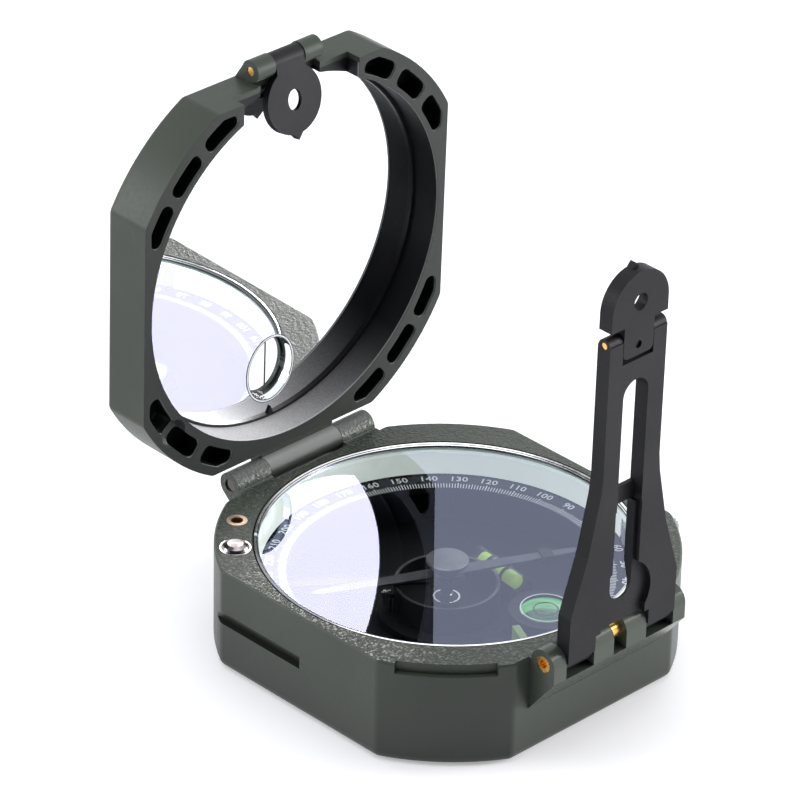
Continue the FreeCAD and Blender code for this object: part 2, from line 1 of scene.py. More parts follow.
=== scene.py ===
"""Looks for the sighting compass.  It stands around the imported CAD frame, in metres, in the same frame."""

import json
import math

import bmesh
import bpy
from mathutils import Matrix, Vector


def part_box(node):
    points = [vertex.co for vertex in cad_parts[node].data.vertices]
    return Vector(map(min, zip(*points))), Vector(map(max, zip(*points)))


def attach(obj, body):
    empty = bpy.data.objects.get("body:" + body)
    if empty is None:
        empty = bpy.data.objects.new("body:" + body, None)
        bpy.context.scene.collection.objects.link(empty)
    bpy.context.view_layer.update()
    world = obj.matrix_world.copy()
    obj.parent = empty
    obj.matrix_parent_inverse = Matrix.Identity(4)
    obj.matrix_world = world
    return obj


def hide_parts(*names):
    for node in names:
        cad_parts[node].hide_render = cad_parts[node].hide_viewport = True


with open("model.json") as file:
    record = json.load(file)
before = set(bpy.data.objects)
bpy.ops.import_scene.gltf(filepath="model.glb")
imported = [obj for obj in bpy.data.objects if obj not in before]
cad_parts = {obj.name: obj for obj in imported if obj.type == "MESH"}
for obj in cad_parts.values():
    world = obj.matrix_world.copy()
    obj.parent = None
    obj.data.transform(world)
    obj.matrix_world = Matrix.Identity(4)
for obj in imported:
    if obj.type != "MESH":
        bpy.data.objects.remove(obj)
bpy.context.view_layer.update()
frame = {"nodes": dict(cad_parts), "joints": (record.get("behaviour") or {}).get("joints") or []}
cad = frame["nodes"]
MM = 0.001

# ---------------------------------------------------------------- places taken from the frame
RING_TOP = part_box("degree_ring")[1].z
HINGES = {joint["name"]: joint for joint in frame["joints"]}
LID_AXIS = Vector(HINGES["lid_hinge"]["pos_m"])

# ---------------------------------------------------------------- places on the lid, as it lies closed
LID_OPEN = 89.0                   # degrees from closed to where it stands at rest
LID_RIM = 19.4 * MM
LID_RECESS_Y = -0.5 * MM          # the round recess is this far off centre
LID_RECESS_RADIUS = 33.4 * MM
LID_RECESS_FLOOR = 27.3 * MM
LID_HIGHLIGHT_Y = (22.0 * MM, 32.5 * MM)
LID_HIGHLIGHT_X = (-6.0 * MM, 22.0 * MM)
POCKET_ARC = (38.2 * MM, 38.35 * MM)
POCKET_SIDE = (33.9 * MM, 34.1 * MM)
POCKET_FLOOR = 24.5 * MM
LIFT_PIN_X = 36.2 * MM * math.cos(math.radians(141.0))
LIFT_PIN_Y = 36.2 * MM * math.sin(math.radians(141.0))
DIMPLE_EDGE = (2.65 * MM, 2.8 * MM)
BARREL_EDGE = (3.3 * MM, 3.5 * MM)
MIRROR_FACE = 25.7 * MM
WINDOW_Y = 23.6 * MM
WINDOW_HALF_X = 5.1 * MM
WINDOW_HALF_Y = 6.0 * MM

# ---------------------------------------------------------------- places on the case
# each pair is where a mask of the paint begins and where it ends
RIM_EDGE = (18.9 * MM, 19.2 * MM)
KNUCKLE_EDGE = (35.3 * MM, 35.7 * MM)
RIM_FRONT = (-36.0 * MM, -35.4 * MM)
LUG_EDGE = (-36.4 * MM, -35.8 * MM)
SPECKLE_BACKWARD = (-6.0 * MM, 24.0 * MM)
SPECKLE_RIGHTWARD = (-20.0 * MM, 2.0 * MM)
GROOVE_SKIN = (-34.93 * MM, -34.85 * MM)
GROOVE_BACK = (-33.8 * MM, -33.7 * MM)
GROOVE_TOP = (9.3 * MM, 10.9 * MM)
GROOVE_ALONG = (-0.6 * MM, 25.1 * MM)
SHADE_HEIGHT = (2.0 * MM, 16.0 * MM)
WELL_WALL = (33.25 * MM, 33.4 * MM)
WELL_HEIGHT = (3.0 * MM, 19.15 * MM)

# ---------------------------------------------------------------- camera
CAMERA_AZIMUTH = -44.74
CAMERA_ELEVATION = 30.07
CAMERA_ROLL = 1.34
CAMERA_DISTANCE = 0.998
CAMERA_LENS = 243.3
CAMERA_TARGET = Vector((0.05061, 0.06349, 0.0))


# ---------------------------------------------------------------- node helpers
class Nodes:
    """A small builder for one material's node tree."""

    def __init__(self, name):
        self.material = bpy.data.materials.new(name)
        self.material.use_nodes = True
        self.tree = self.material.node_tree
        self.tree.nodes.clear()
        self.out = self.add("ShaderNodeOutputMaterial")

    def add(self, kind, **settings):
        node = self.tree.nodes.new(kind)
        for key, value in settings.items():
            setattr(node, key, value)
        return node

    def link(self, source, target):
        self.tree.links.new(source, target)

    def feed(self, socket, value):
        if isinstance(value, bpy.types.NodeSocket):
            self.link(value, socket)
        elif isinstance(value, (tuple, list)) and len(value) == 3 and socket.type == "RGBA":
            socket.default_value = (*value, 1.0)
        else:
            socket.default_value = value

    def place(self):
        """The point on the surface, in the row frame at rest."""
        return self.add("ShaderNodeTexCoord").outputs["Object"]

    def normal(self):
        return self.add("ShaderNodeTexCoord").outputs["Normal"]

    def split(self, vector):
        node = self.add("ShaderNodeSeparateXYZ")
        self.link(vector, node.inputs[0])
        return node.outputs

    def noise(self, vector, scale, detail=3.0, rough=0.55, warp=0.0):
        node = self.add("ShaderNodeTexNoise")
        self.link(vector, node.inputs["Vector"])
        node.inputs["Scale"].default_value = scale
        node.inputs["Detail"].default_value = detail
        node.inputs["Roughness"].default_value = rough
        node.inputs["Distortion"].default_value = warp
        return node.outputs["Fac"]

    def cells(self, vector, scale):
        node = self.add("ShaderNodeTexVoronoi", feature="SMOOTH_F1")
        self.link(vector, node.inputs["Vector"])
        node.inputs["Scale"].default_value = scale
        return node.outputs["Distance"]

    def math(self, operation, a, b=0.0):
        node = self.add("ShaderNodeMath", operation=operation)
        self.feed(node.inputs[0], a)
        self.feed(node.inputs[1], b)
        return node.outputs[0]

    def times(self, first, *others):
        """The product of two or more values."""
        for other in others:
            first = self.math("MULTIPLY", first, other)
        return first

    def ramp(self, value, low_in, high_in, low_out=0.0, high_out=1.0):
        """value moved from one range to another, and held inside it."""
        node = self.add("ShaderNodeMapRange", clamp=True)
        self.feed(node.inputs["Value"], value)
        node.inputs["From Min"].default_value = low_in
        node.inputs["From Max"].default_value = high_in
        node.inputs["To Min"].default_value = low_out
        node.inputs["To Max"].default_value = high_out
        return node.outputs["Result"]

    def mix(self, factor, a, b):
        node = self.add("ShaderNodeMix", data_type="RGBA")
        self.feed(node.inputs["Factor"], factor)
        self.feed(node.inputs[6], a)
        self.feed(node.inputs[7], b)
        return node.outputs[2]

    def bump(self, height, distance, strength=1.0, under=None):
        node = self.add("ShaderNodeBump")
        node.inputs["Strength"].default_value = strength
        node.inputs["Distance"].default_value = distance
        self.link(height, node.inputs["Height"])
        if under is not None:
            self.link(under, node.inputs["Normal"])
        return node.outputs["Normal"]

    def surface(self, color, rough, metallic=0.0, normal=None, **sockets):
        """The Principled shader that ends the material."""
        shader = self.add("ShaderNodeBsdfPrincipled")
        self.feed(shader.inputs["Base Color"], color)
        self.feed(shader.inputs["Roughness"], rough)
        self.feed(shader.inputs["Metallic"], metallic)
        for key, value in sockets.items():
            shader.inputs[key.replace("_", " ")].default_value = value
        if normal is not None:
            self.link(normal, shader.inputs["Normal"])
        self.link(shader.outputs[0], self.out.inputs["Surface"])
        return shader


def between(n, value, low_at, high_at, soft=0.05 * MM):
    """1 where value lies between two places, with a short soft edge."""
    above = n.ramp(value, low_at - soft, low_at + soft)
    below = n.ramp(value, high_at - soft, high_at + soft, 1.0, 0.0)
    return n.times(above, below)


def until(n, value, band):
    """1 where value lies below a band, 0 above it."""
    return n.ramp(value, *band, 1.0, 0.0)


def distance_from(n, x, y, centre_x=0.0, centre_y=0.0):
    """Distance from a centre, in the plane of the two values."""
    dx = n.math("SUBTRACT", x, centre_x)
    dy = n.math("SUBTRACT", y, centre_y)
    return n.math("SQRT", n.math("ADD", n.times(dx, dx), n.times(dy, dy)))


# ---------------------------------------------------------------- materials
OLIVE = (0.0490, 0.0590, 0.0479)
OLIVE_DEEP = (0.0389, 0.0477, 0.0383)
OLIVE_LIGHT = (0.0864, 0.0998, 0.0834)
OLIVE_PAINTED_SHADE = (0.020, 0.022, 0.020)
PIT_SHADE_BLACK = (0.004, 0.004, 0.004)
GLINT_GREY = (0.46, 0.47, 0.44)
GROOVE_SHADE_BLACK = (0.003, 0.003, 0.003)
WELL_BLACK = (0.012, 0.012, 0.014)
CREST_HIGHLIGHT_GREY = (0.20, 0.21, 0.21)
LID_BLACK = (0.0035, 0.004, 0.0055)
LIP_HIGHLIGHT_GREY = (0.36, 0.38, 0.37)
RECESS_HIGHLIGHT_PALE = (0.72, 0.72, 0.74)
BARREL_HIGHLIGHT_GREY = (0.34, 0.35, 0.35)
BLACK_PAINT = (0.0075, 0.0075, 0.009)


def paint_layers(n, place, base, deep, worn):
    """Satin sprayed paint: broad tone drift, fine mottling and a few lighter rubs."""
    broad = n.noise(place, 42.0, 2.0)
    fine = n.noise(place, 1500.0, 3.0, 0.6)
    rubs = n.noise(place, 260.0, 4.0, 0.7, 0.6)
    color = n.mix(n.ramp(broad, 0.35, 0.65), base, deep)
    color = n.mix(n.ramp(fine, 0.45, 0.75, 0.0, 0.35), color, deep)
    color = n.mix(n.ramp(rubs, 0.66, 0.80, 0.0, 0.35), color, worn)
    rough = n.ramp(n.math("ADD", n.times(fine, 0.6), n.times(broad, 0.4)),
                   0.3, 0.7, 0.34, 0.46)
    return color, rough, fine


def case_paint():
    """Olive paint: smooth on the sides, pebbled on the rim and on the case's own hinge knuckles."""
    n = Nodes("case_paint")
    place = n.place()
    x, y, z = n.split(place)
    facing_up = n.split(n.normal())[2]
    color, rough, fine = paint_layers(n, place, OLIVE, OLIVE_DEEP, OLIVE_LIGHT)

    # where the paint is pebbled, and how strongly: most at the front left, least behind and on the right,
    # and so too the painted glints and painted pit shade
    rim = n.times(n.ramp(facing_up, 0.75, 0.95), n.ramp(z, *RIM_EDGE))
    knuckle = n.ramp(y, *KNUCKLE_EDGE)
    pebbled = n.times(n.math("MAXIMUM", rim, knuckle), n.ramp(y, *RIM_FRONT))
    backward = n.ramp(y, *SPECKLE_BACKWARD, 1.0, 0.15)
    rightward = n.ramp(n.math("SUBTRACT", x, y), *SPECKLE_RIGHTWARD, 1.0, 0.22)
    strength = n.times(backward, rightward)
    glint_and_pit_shade = n.times(pebbled, strength)
    roughened = n.times(pebbled, n.math("ADD", n.times(strength, 0.55), 0.45))

    # the pebbles themselves, with painted shade in their pits and painted glints among them
    grain = n.math("ADD", n.cells(place, 1700.0), n.noise(place, 3000.0, 3.0))
    glint = n.ramp(n.noise(place, 2100.0, 2.0, 0.6), 0.55, 0.63)
    pit_shade = n.ramp(n.noise(place, 1900.0, 2.0, 0.5, 1.1), 0.56, 0.66)
    normal = n.bump(n.times(grain, roughened), 0.15 * MM, 1.0, n.bump(fine, 0.012 * MM, 0.5))
    color = n.mix(n.times(roughened, n.ramp(grain, 0.55, 1.1, 0.9, 0.0)), color, OLIVE_LIGHT)
    color = n.mix(n.times(glint_and_pit_shade, n.times(pit_shade, 0.85)), color, PIT_SHADE_BLACK)
    color = n.mix(n.times(glint_and_pit_shade, n.times(glint, 0.9)), color, GLINT_GREY)

    # painted shade in the groove on the left flat
    groove = n.times(n.ramp(x, *GROOVE_SKIN), until(n, x, GROOVE_BACK), until(n, z, GROOVE_TOP),
                     between(n, y, *GROOVE_ALONG))
    color = n.mix(n.times(groove, 0.92), color, GROOVE_SHADE_BLACK)

    # painted shade low down, a painted highlight on the knuckles' crests, and the sight's lugs lighter
    color = n.mix(n.ramp(z, *SHADE_HEIGHT, 0.50, 0.08), color, OLIVE_PAINTED_SHADE)
    crest_highlight = n.times(knuckle, n.ramp(facing_up, 0.55, 0.95))
    color = n.mix(n.times(crest_highlight, 0.6), color, CREST_HIGHLIGHT_GREY)
    lugs = until(n, y, LUG_EDGE)
    color = n.mix(n.times(lugs, 0.22), color, OLIVE_LIGHT)

    # black inside the well that holds the dial
    well = n.times(until(n, distance_from(n, x, y), WELL_WALL), between(n, z, *WELL_HEIGHT))
    color = n.mix(well, color, WELL_BLACK)

    rough = n.math("SUBTRACT", rough, n.times(roughened, 0.16))
    rough = n.math("SUBTRACT", rough, n.times(lugs, 0.18))
    n.surface(color, rough, 0.0, normal, Specular_IOR_Level=0.32)
    return n.material


def lid_paint():
    """Olive outside; the recess, its wall and the blind pockets are satin black."""
    n = Nodes("lid_paint")
    closed = n.add("ShaderNodeMapping", vector_type="POINT")
    turn = Matrix.Rotation(math.radians(LID_OPEN), 4, "X")
    closed.inputs["Location"].default_value = LID_AXIS - turn @ LID_AXIS
    closed.inputs["Rotation"].default_value = (math.radians(LID_OPEN), 0.0, 0.0)
    n.link(n.place(), closed.inputs["Vector"])
    place = closed.outputs[0]
    x, y, z = n.split(place)
    color, rough, fine = paint_layers(n, n.place(), OLIVE, OLIVE_DEEP, OLIVE_LIGHT)

    # black in the recess and in the pockets, but not in the dimple over the lift pin
    recess = distance_from(n, x, y, 0.0, LID_RECESS_Y)
    in_recess = n.ramp(recess, LID_RECESS_RADIUS + 0.04 * MM, LID_RECESS_RADIUS + 0.1 * MM, 1.0, 0.0)
    in_recess = n.times(in_recess, between(n, z, LID_RIM + 0.12 * MM, LID_RECESS_FLOOR))
    widest = n.math("MAXIMUM", n.math("ABSOLUTE", x), n.math("ABSOLUTE", y))
    off_dimple = n.ramp(distance_from(n, x, y, LIFT_PIN_X, LIFT_PIN_Y), *DIMPLE_EDGE)
    pocket = n.times(until(n, distance_from(n, x, y), POCKET_ARC), until(n, widest, POCKET_SIDE),
                     off_dimple)
    in_pocket = n.times(pocket, between(n, z, LID_RIM + 0.55 * MM, POCKET_FLOOR))
    color = n.mix(n.math("MAXIMUM", in_recess, in_pocket), color, LID_BLACK)

    # a painted highlight on the lip at each pocket's mouth
    lip_highlight = n.times(pocket, between(n, z, LID_RIM + 0.06 * MM, LID_RIM + 0.4 * MM, 0.04 * MM))
    color = n.mix(n.times(lip_highlight, 0.8), color, LIP_HIGHLIGHT_GREY)

    # a speckled painted highlight in the recess near the hinge
    highlight_speckle = n.noise(place, 3400.0, 3.0, 0.6)
    recess_highlight = n.times(in_recess, n.ramp(y, *LID_HIGHLIGHT_Y), n.ramp(highlight_speckle, 0.36, 0.66, 0.72, 1.0),
                     n.ramp(x, *LID_HIGHLIGHT_X, 1.0, 0.15))
    color = n.mix(n.times(recess_highlight, 0.85), color, RECESS_HIGHLIGHT_PALE)

    # painted shade: the rim's face is darker, and so is the dimple
    rim_face = n.ramp(z, LID_RIM + 0.04 * MM, LID_RIM + 0.12 * MM, 1.0, 0.0)
    in_dimple = n.times(n.math("SUBTRACT", 1.0, off_dimple),
                        n.ramp(z, LID_RIM + 1.2 * MM, LID_RIM + 1.4 * MM, 1.0, 0.0))
    rim_face = n.math("MAXIMUM", rim_face, in_dimple)
    color = n.mix(n.times(rim_face, 0.85), color, OLIVE_PAINTED_SHADE)

    # the hinge barrel is smoother, with a painted highlight where it faces up
    barrel = until(n, distance_from(n, y, z, LID_AXIS.y, LID_AXIS.z), BARREL_EDGE)
    facing_up = n.ramp(n.split(n.normal())[2], 0.35, 0.9)
    color = n.mix(n.times(barrel, facing_up, 0.75), color, BARREL_HIGHLIGHT_GREY)

    rough = n.math("ADD", rough, n.times(in_recess, 0.14))
    rough = n.math("ADD", rough, n.times(rim_face, 0.12))
    rough = n.math("SUBTRACT", rough, n.times(barrel, 0.18))
    brushed = n.noise(place, 900.0, 2.0)
    normal = n.bump(n.math("ADD", fine, n.times(brushed, 0.5)), 0.012 * MM, 0.5)
    n.surface(color, rough, 0.0, normal, Specular_IOR_Level=0.24)
    return n.material


def black_paint(name, tone=BLACK_PAINT, rough_low=0.38, rough_high=0.52):
    """Charcoal satin paint with a fine grain and lighter rubbed patches."""
    n = Nodes(name)
    place = n.place()
    broad = n.noise(place, 60.0, 2.0)
    fine = n.noise(place, 2600.0, 3.0, 0.6)
    worn = tuple(v * 2.0 + 0.003 for v in tone)
    color = n.mix(n.ramp(broad, 0.35, 0.7, 0.0, 0.6), tone, worn)
    color = n.mix(n.ramp(fine, 0.5, 0.8, 0.0, 0.4), color, worn)
    normal = n.bump(fine, 0.02 * MM, 0.6)
    n.surface(color, n.ramp(fine, 0.3, 0.7, rough_low, rough_high), 0.0, normal,
              Specular_IOR_Level=0.165)
    return n.material


def metal(name, color, rough_low, rough_high, scratch=0.35, drawn=False):
    """Bare metal with faint stains and fine scratches, which run along X where it is drawn."""
    n = Nodes(name)
    place = n.place()
    stretch = n.add("ShaderNodeMapping")
    if drawn:
        stretch.inputs["Scale"].default_value = (0.05, 1.0, 1.0)
    n.link(place, stretch.inputs["Vector"])
    grain = n.noise(stretch.outputs[0], 5200.0, 2.0)
    stains = n.noise(place, 420.0, 3.0)
    darker = tuple(v * 0.55 for v in color)
    tone = n.mix(n.ramp(stains, 0.45, 0.8, 0.0, 0.6), color, darker)
    normal = n.bump(grain, 0.010 * MM, scratch)
    n.surface(tone, n.ramp(grain, 0.3, 0.7, rough_low, rough_high), 1.0, normal)
    return n.material


def molded(name, color, second, rough_low=0.45, rough_high=0.6, **sockets):
    """Moulded plastic: soft mottling, a fine matt skin."""
    n = Nodes(name)
    place = n.place()
    mottle = n.noise(place, 140.0, 3.0)
    skin = n.noise(place, 2200.0, 3.0, 0.6)
    tone = n.mix(n.ramp(mottle, 0.3, 0.7), color, second)
    normal = n.bump(skin, 0.012 * MM, 0.5)
    n.surface(tone, n.ramp(skin, 0.3, 0.7, rough_low, rough_high), 0.0, normal, **sockets)
    return n.material


def clear_pane(name, tint, ior, rough=0.0, coating=(1.0, 1.0, 1.0), ground_edge=None):
    """Clear glass that lets the light through and mirrors more at a shallow angle.

    Only faces seen from outside mirror, so ior may be above that of real glass.  ground_edge is the
    colour of the upright faces, where they aren't clear.
    """
    n = Nodes(name)
    place = n.place()
    smear = n.noise(place, 90.0, 3.0)
    through = n.add("ShaderNodeBsdfTransparent")
    n.feed(through.inputs["Color"], n.mix(n.ramp(smear, 0.4, 0.8, 0.0, 0.4), tint,
                                          tuple(v * 0.97 for v in tint)))
    gloss = n.add("ShaderNodeBsdfGlossy")
    gloss.inputs["Color"].default_value = (*coating, 1.0)
    gloss.inputs["Roughness"].default_value = rough
    fresnel = n.add("ShaderNodeFresnel")
    fresnel.inputs["IOR"].default_value = ior
    outside = n.math("SUBTRACT", 1.0, n.add("ShaderNodeNewGeometry").outputs["Backfacing"])
    blend = n.add("ShaderNodeMixShader")
    n.link(n.times(fresnel.outputs[0], outside), blend.inputs[0])
    n.link(through.outputs[0], blend.inputs[1])
    n.link(gloss.outputs[0], blend.inputs[2])
    if ground_edge is not None:
        clear = blend
        edge = n.add("ShaderNodeBsdfDiffuse")
        edge.inputs["Color"].default_value = (*ground_edge, 1.0)
        upright = n.math("LESS_THAN", n.math("ABSOLUTE", n.split(n.normal())[2]), 0.5)
        blend = n.add("ShaderNodeMixShader")
        n.link(upright, blend.inputs[0])
        n.link(clear.outputs[0], blend.inputs[1])
        n.link(edge.outputs[0], blend.inputs[2])
    n.link(blend.outputs[0], n.out.inputs["Surface"])
    return n.material


def snap_ring_metal():
    """Polished spring wire with a dark line along each side of its crest."""
    n = Nodes("snap_ring_metal")
    place = n.place()
    x, y = n.split(place)[:2]
    radius = distance_from(n, x, y)
    lines = n.math("MAXIMUM", between(n, radius, 32.42 * MM, 32.56 * MM, 0.02 * MM),
                   between(n, radius, 33.02 * MM, 33.3 * MM, 0.02 * MM))
    grain = n.noise(place, 900.0, 3.0)
    tone = n.mix(lines, n.mix(grain, (0.90, 0.91, 0.92), (0.72, 0.74, 0.75)), (0.02, 0.02, 0.02))
    n.surface(tone, n.ramp(grain, 0.3, 0.7, 0.10, 0.22), 0.9, n.bump(grain, 0.01 * MM, 0.4))
    return n.material


def mirror_silver():
    """The lid's mirror: silvered glass with the faintest haze."""
    n = Nodes("mirror_silver")
    haze = n.noise(n.place(), 70.0, 3.0)
    tone = n.mix(n.ramp(haze, 0.4, 0.8, 0.0, 0.5), (0.93, 0.94, 0.955), (0.90, 0.915, 0.94))
    n.surface(tone, n.ramp(haze, 0.4, 0.8, 0.004, 0.012), 1.0)
    return n.material


def spirit(name, color, edge, glow=0.0):
    """Dyed spirit; its glow is painted light, in place of light through its pale backing."""
    n = Nodes(name)
    swirl = n.noise(n.place(), 300.0, 2.0)
    tone = n.mix(n.ramp(swirl, 0.3, 0.7), color, edge)
    n.surface(tone, n.ramp(swirl, 0.3, 0.7, 0.06, 0.12), 0.0, None, Coat_Weight=0.6,
              Coat_Roughness=0.03, Emission_Color=(*color, 1.0), Emission_Strength=glow)
    return n.material


BRASS = (0.86, 0.50, 0.14)
MATERIALS = {
    "case": case_paint(),
    "lid": lid_paint(),
    "sight_black": black_paint("sight_black", BLACK_PAINT, 0.40, 0.55),
    "inner_black": black_paint("inner_black", (0.010, 0.010, 0.012), 0.30, 0.45),
    "dial_black": black_paint("dial_black", (0.006, 0.006, 0.007), 0.5, 0.65),
    "steel": metal("steel", (0.72, 0.72, 0.73), 0.10, 0.24),
    "needle_steel": metal("needle_steel", (0.10, 0.104, 0.115), 0.32, 0.44, 0.2),
    "rim_highlight_metal": metal("rim_highlight_metal", (0.13, 0.13, 0.14), 0.3, 0.45, 0.3),
    "worn_steel": metal("worn_steel", (0.12, 0.115, 0.11), 0.20, 0.34),
    "pin_steel": metal("pin_steel", (0.33, 0.31, 0.30), 0.12, 0.26, 0.6),
    "hub_metal": metal("hub_metal", (0.20, 0.205, 0.215), 0.34, 0.42, 0.1),
    "worn_brass": metal("worn_brass", (0.60, 0.46, 0.34), 0.24, 0.42),
    "brass": metal("brass", BRASS, 0.16, 0.32),
    "brass_drawn": metal("brass_drawn", BRASS, 0.20, 0.36, 0.6, drawn=True),
    # the pale liner ring and gasket glow a little: painted light
    "mint": molded("mint", (0.80, 0.87, 0.82), (0.88, 0.92, 0.89), 0.4, 0.55,
                   Emission_Color=(0.80, 0.90, 0.84, 1.0), Emission_Strength=0.42),
    "wheel": molded("wheel", (0.36, 0.37, 0.37), (0.44, 0.45, 0.45), 0.3, 0.42),
    "glow": molded("glow", (0.17, 0.27, 0.08), (0.23, 0.34, 0.12), 0.4, 0.55),
    "mark": molded("mark", (0.82, 0.85, 0.86), (0.72, 0.75, 0.77), 0.4, 0.5),
    "ink": molded("ink", (0.010, 0.010, 0.012), (0.018, 0.018, 0.02), 0.35, 0.5),
    "cover_glass": clear_pane("cover_glass_clear", (0.985, 0.99, 0.99), 2.2, 0.0, (0.66, 0.73, 1.0),
                              ground_edge=(0.80, 0.87, 0.83)),
    "snap_ring": snap_ring_metal(),
    "vial_glass": clear_pane("vial_glass", (0.94, 0.99, 0.93), 1.5, 0.02),
    "window_glass": clear_pane("window_clear", (0.95, 0.97, 0.98), 1.5),
    "mirror": mirror_silver(),
    "spirit_tube": spirit("spirit_tube", (0.48, 0.66, 0.08), (0.62, 0.78, 0.16), 0.28),
    "spirit_round": spirit("spirit_round", (0.23, 0.63, 0.28), (0.34, 0.75, 0.39), 0.52),
    "bubble": spirit("bubble_pale", (0.72, 0.90, 0.45), (0.85, 0.96, 0.62)),
    "jewel": spirit("jewel_red", (0.35, 0.03, 0.05), (0.45, 0.06, 0.08)),
}
MATERIAL_OF = {
    "base_case": "case",
    "lid_shell": "lid",
    "dial_plate": "dial_black",
    "ring_support": "dial_black",
    "pale_liner_ring": "mint",
    "glass_gasket": "mint",
    "cover_glass": "cover_glass",
    "glass_snap_ring": "snap_ring",
    "brass_insert": "worn_brass",
    "long_sight_pin": "brass_drawn",
    "lid_hinge_pin": "worn_steel",
    "thumbwheel_axle": "steel",
    "lift_pin_bush": "steel",
    "lift_pin_spring": "steel",
    "lifter_bracket": "inner_black",
    "lifter_axle": "steel",
    "degree_ring": "dial_black",
    "stop_screw": "steel",
    "thumbwheel": "wheel",
    "needle_blade": "needle_steel",
    "needle_hub": "hub_metal",
    "needle_jewel": "jewel",
    "needle_counterweight": "inner_black",
    "lift_pin": "pin_steel",
    "needle_lifter": "inner_black",
    "clinometer_arm": "dial_black",
    "tube_level_cradle": "inner_black",
    "tube_level_vial": "vial_glass",
    "tube_level_spirit": "spirit_tube",
    "round_level_cup": "inner_black",
    "round_level_spirit": "spirit_round",
    "round_level_glass": "vial_glass",
    "clinometer_index": "glow",
    "damping_cup": "inner_black",
    "clinometer_shaft": "inner_black",
    "needle_pivot": "steel",
    "clinometer_washer": "steel",
    "clinometer_lever": "brass",
    "lid_mirror": "mirror",
    "mirror_keeper_ring": "inner_black",
    "window_glass": "window_glass",
    "small_sight_pin": "brass_drawn",
    "small_sight": "sight_black",
    "long_sight_arm": "sight_black",
    "peep_pin": "brass_drawn",
    "peep_sight": "sight_black",
}
for node, look in MATERIAL_OF.items():
    mesh = cad[node].data
    mesh.materials.clear()
    mesh.materials.append(MATERIALS[look])


# ---------------------------------------------------------------- mesh helpers
def piece(name, bm, look, body, smooth=False):
    """Make an object from a bmesh, give it a look and let it ride on a body."""
    mesh = bpy.data.meshes.new(name)
    bm.normal_update()
    bm.to_mesh(mesh)
    bm.free()
    if smooth:
        for face in mesh.polygons:
            face.use_smooth = True
    mesh.materials.append(MATERIALS[look])
    made = bpy.data.objects.new(name, mesh)
    bpy.context.scene.collection.objects.link(made)
    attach(made, body)
    return made


def add_slab(bm, matrix, length, width, height):
    """A thin bar standing on the plane z = 0 of a matrix, centred there."""
    corners = []
    for z in (0.0, height):
        for x, y in ((-1, -1), (1, -1), (1, 1), (-1, 1)):
            corners.append(bm.verts.new(matrix @ Vector((x * length / 2, y * width / 2, z))))
    bm.faces.new(list(reversed(corners[:4])))
    bm.faces.new(corners[4:])
    for step in range(4):
        after = (step + 1) % 4
        bm.faces.new((corners[step], corners[after], corners[after + 4], corners[step + 4]))


def add_ring(bm, centre, radius, wire, thickness, steps=64):
    """A flat ring of rectangular section about +Z."""
    loops = []
    for z in (0.0, thickness):
        for r in (radius - wire / 2, radius + wire / 2):
            loop = []
            for step in range(steps):
                angle = 2 * math.pi * step / steps
                at = Vector((r * math.cos(angle), r * math.sin(angle), z))
                loop.append(bm.verts.new(centre + at))
            loops.append(loop)
    inner_low, outer_low, inner_top, outer_top = loops
    for step in range(steps):
        after = (step + 1) % steps
        for a, b in ((inner_top, outer_top), (outer_top, outer_low), (outer_low, inner_low),
                     (inner_low, inner_top)):
            bm.faces.new((a[step], b[step], b[after], a[after]))


# ---------------------------------------------------------------- degree ring: ticks and numbers
TICK_INNER = 27.5 * MM
MARK_HEIGHT = 0.03 * MM
DIGIT_RADIUS = 30.45 * MM
DIGIT_SIZE = 2.1 * MM
RING_HEADING = 1.7          # degrees the ring is turned from due north


def around(radius, azimuth, z):
    """A matrix at a place round the ring, its +Y pointing outwards."""
    at = Vector((radius * math.cos(azimuth), radius * math.sin(azimuth), z))
    return Matrix.Translation(at) @ Matrix.Rotation(azimuth - math.pi / 2, 4, "Z")


def tick_size(degree):
    """Length and width of the tick at a degree."""
    if degree % 10 == 0:
        return 1.65 * MM, 0.2 * MM
    if degree % 5 == 0:
        return 1.5 * MM, 0.16 * MM
    return 1.35 * MM, 0.16 * MM


def make_ticks():
    bm = bmesh.new()
    for degree in range(360):
        length, width = tick_size(degree)
        azimuth = math.radians(degree + RING_HEADING)
        matrix = around(TICK_INNER + length / 2, azimuth, RING_TOP)
        add_slab(bm, matrix, width, length, MARK_HEIGHT)
    return piece("degree_ticks", bm, "mark", "ring")


def make_numbers():
    for degree in range(0, 360, 10):
        curve = bpy.data.curves.new("degree_number_%03d" % degree, "FONT")
        curve.body = str(degree)
        curve.align_x = "CENTER"
        curve.align_y = "CENTER"
        curve.size = DIGIT_SIZE
        curve.extrude = MARK_HEIGHT / 2
        curve.offset = 0.03 * MM
        curve.space_character = 1.05
        curve.resolution_u = 3
        curve.materials.append(MATERIALS["mark"])
        made = bpy.data.objects.new("degree_number_%03d" % degree, curve)
        bpy.context.scene.collection.objects.link(made)
        azimuth = math.radians(degree - 90 + RING_HEADING)
        made.matrix_world = around(DIGIT_RADIUS, azimuth, RING_TOP + MARK_HEIGHT / 2)
        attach(made, "ring")


make_ticks()
make_numbers()


# ---------------------------------------------------------------- rings, levels and the window
def ring_piece(name, look, centre, radius, wire):
    """A thin flat ring that rides on the clinometer."""
    bm = bmesh.new()
    add_ring(bm, centre, radius, wire, 0.05 * MM)
    return piece(name, bm, look, "clinometer")


